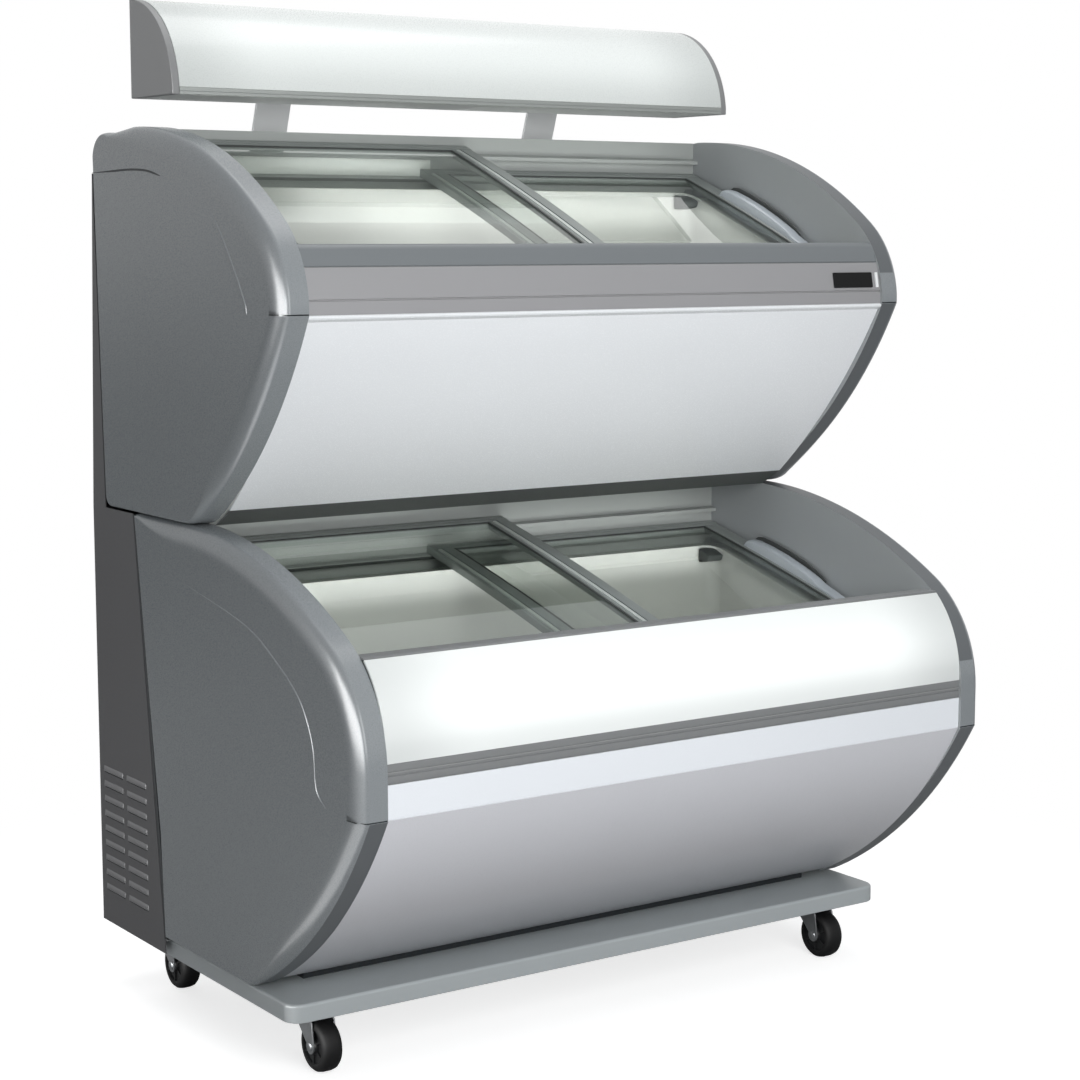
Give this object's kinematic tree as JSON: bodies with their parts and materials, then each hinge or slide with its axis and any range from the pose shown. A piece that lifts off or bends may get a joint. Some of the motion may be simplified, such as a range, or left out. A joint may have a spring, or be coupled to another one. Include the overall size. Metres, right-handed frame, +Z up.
{
  "type": "ice cream display freezer",
  "caption": "Stepped ice cream display freezer with curved sliding glass lids, rounded end panels, a rear machine column, a lit sign canopy on posts and a caster platform.",
  "frame": {"origin": "on the floor, under the middle of the whole freezer", "axes": "+Z up, +X to the right as seen from the front, the front faces -Y"},
  "size_m": [1.172, 0.862, 1.608],
  "materials": {
    "grey_steel": "satin",
    "dark_steel": "satin",
    "zinc_steel": "satin",
    "cabinet_foam": "matte",
    "tank_liner": "gloss",
    "silver_panel": "satin",
    "white_panel": "gloss",
    "light_band": "gloss",
    "grey_trim": "satin",
    "white_sheet": "satin",
    "sign_acrylic": "satin",
    "lamp_tube": "gloss",
    "end_moulding": "satin",
    "rail_plastic": "satin",
    "fascia_grey": "satin",
    "fascia_dark": "satin",
    "badge_black": "gloss",
    "pilot_lens": "gloss",
    "compressor_black": "satin",
    "condenser_black": "matte",
    "motor_black": "satin",
    "fan_plastic": "matte",
    "control_plastic": "matte",
    "knob_black": "matte",
    "button_white": "gloss",
    "post_aluminium": "satin",
    "cap_grey": "satin",
    "wheel_black": "matte",
    "lid_frame": "satin",
    "lid_glass": "gloss"
  },
  "bodies": {
    "cabinet": {"base_platform": "grey_steel", "plinth": "dark_steel", "caster_plates": "zinc_steel", "low_insulation": "cabinet_foam", "low_liner": "tank_liner", "low_front_panel": "silver_panel", "low_band": "light_band", "low_trim": "grey_trim", "sign_housing": "white_sheet", "sign_diffuser": "sign_acrylic", "sign_lamp": "lamp_tube", "low_end_left": "end_moulding", "low_end_right": "end_moulding", "low_rails": "rail_plastic", "up_insulation": "cabinet_foam", "up_liner": "tank_liner", "up_front_panel": "white_panel", "fascia": "fascia_grey", "fascia_top": "fascia_dark", "badge_plate": "badge_black", "pilot_lamp": "pilot_lens", "up_end_left": "end_moulding", "up_end_right": "end_moulding", "up_rails": "rail_plastic", "crown": "end_moulding", "column_side_left": "dark_steel", "column_side_right": "dark_steel", "column_back": "dark_steel", "rear_grille": "dark_steel", "machine_tray": "zinc_steel", "compressor": "compressor_black", "condenser": "condenser_black", "fan_motor": "motor_black", "control_box": "control_plastic", "cable_gland": "knob_black", "canopy_posts": "post_aluminium", "canopy_housing": "white_sheet", "canopy_strip": "post_aluminium", "canopy_diffuser": "sign_acrylic", "canopy_caps": "cap_grey", "canopy_lamp": "lamp_tube"},
    "swivel_front_left": {"caster_fork_front_left": "zinc_steel"},
    "wheel_front_left": {"caster_wheel_front_left": "wheel_black"},
    "swivel_front_right": {"caster_fork_front_right": "zinc_steel"},
    "wheel_front_right": {"caster_wheel_front_right": "wheel_black"},
    "swivel_rear_left": {"caster_fork_rear_left": "zinc_steel"},
    "wheel_rear_left": {"caster_wheel_rear_left": "wheel_black"},
    "swivel_rear_right": {"caster_fork_rear_right": "zinc_steel"},
    "wheel_rear_right": {"caster_wheel_rear_right": "wheel_black"},
    "low_lid_left": {"low_lid_left_frame": "lid_frame", "low_lid_left_glass": "lid_glass"},
    "low_lid_right": {"low_lid_right_frame": "lid_frame", "low_lid_right_glass": "lid_glass"},
    "up_lid_left": {"up_lid_left_frame": "lid_frame", "up_lid_left_glass": "lid_glass"},
    "up_lid_right": {"up_lid_right_frame": "lid_frame", "up_lid_right_glass": "lid_glass"},
    "fan": {"fan": "fan_plastic"},
    "thermostat_knob": {"thermostat_knob": "knob_black"},
    "light_button": {"light_button": "button_white"}
  },
  "joints": [
    {"name": "swivel_front_left", "type": "hinge", "parent": "cabinet", "child": "swivel_front_left", "pos_m": [-0.494, -0.126, 0.0865], "axis": [0, 0, 1], "continuous": true},
    {"name": "roll_front_left", "type": "hinge", "parent": "swivel_front_left", "child": "wheel_front_left", "pos_m": [-0.494, -0.153, 0.04], "axis": [1, 0, 0], "continuous": true},
    {"name": "swivel_front_right", "type": "hinge", "parent": "cabinet", "child": "swivel_front_right", "pos_m": [0.494, -0.126, 0.0865], "axis": [0, 0, 1], "continuous": true},
    {"name": "roll_front_right", "type": "hinge", "parent": "swivel_front_right", "child": "wheel_front_right", "pos_m": [0.494, -0.153, 0.04], "axis": [1, 0, 0], "continuous": true},
    {"name": "swivel_rear_left", "type": "hinge", "parent": "cabinet", "child": "swivel_rear_left", "pos_m": [-0.494, 0.347, 0.0865], "axis": [0, 0, 1], "continuous": true},
    {"name": "roll_rear_left", "type": "hinge", "parent": "swivel_rear_left", "child": "wheel_rear_left", "pos_m": [-0.494, 0.32, 0.04], "axis": [1, 0, 0], "continuous": true},
    {"name": "swivel_rear_right", "type": "hinge", "parent": "cabinet", "child": "swivel_rear_right", "pos_m": [0.494, 0.347, 0.0865], "axis": [0, 0, 1], "continuous": true},
    {"name": "roll_rear_right", "type": "hinge", "parent": "swivel_rear_right", "child": "wheel_rear_right", "pos_m": [0.494, 0.32, 0.04], "axis": [1, 0, 0], "continuous": true},
    {"name": "low_lid_left_slide", "type": "slide", "parent": "cabinet", "child": "low_lid_left", "axis": [1, 0, 0], "range_m": [0, 0.462]},
    {"name": "low_lid_right_slide", "type": "slide", "parent": "cabinet", "child": "low_lid_right", "axis": [1, 0, 0], "range_m": [-0.462, 0]},
    {"name": "up_lid_left_slide", "type": "slide", "parent": "cabinet", "child": "up_lid_left", "axis": [1, 0, 0], "range_m": [0, 0.492]},
    {"name": "up_lid_right_slide", "type": "slide", "parent": "cabinet", "child": "up_lid_right", "axis": [1, 0, 0], "range_m": [-0.492, 0]},
    {"name": "fan_spin", "type": "hinge", "parent": "cabinet", "child": "fan", "pos_m": [-0.472, 0.3235, 0.254], "axis": [1, 0, 0], "continuous": true},
    {"name": "thermostat_turn", "type": "hinge", "parent": "cabinet", "child": "thermostat_knob", "pos_m": [0.455, 0.419, 0.4], "axis": [0, 1, 0], "range_deg": [0, 270]},
    {"name": "light_press", "type": "slide", "parent": "cabinet", "child": "light_button", "axis": [0, 1, 0], "range_m": [-0.003, 0]}
  ]
}
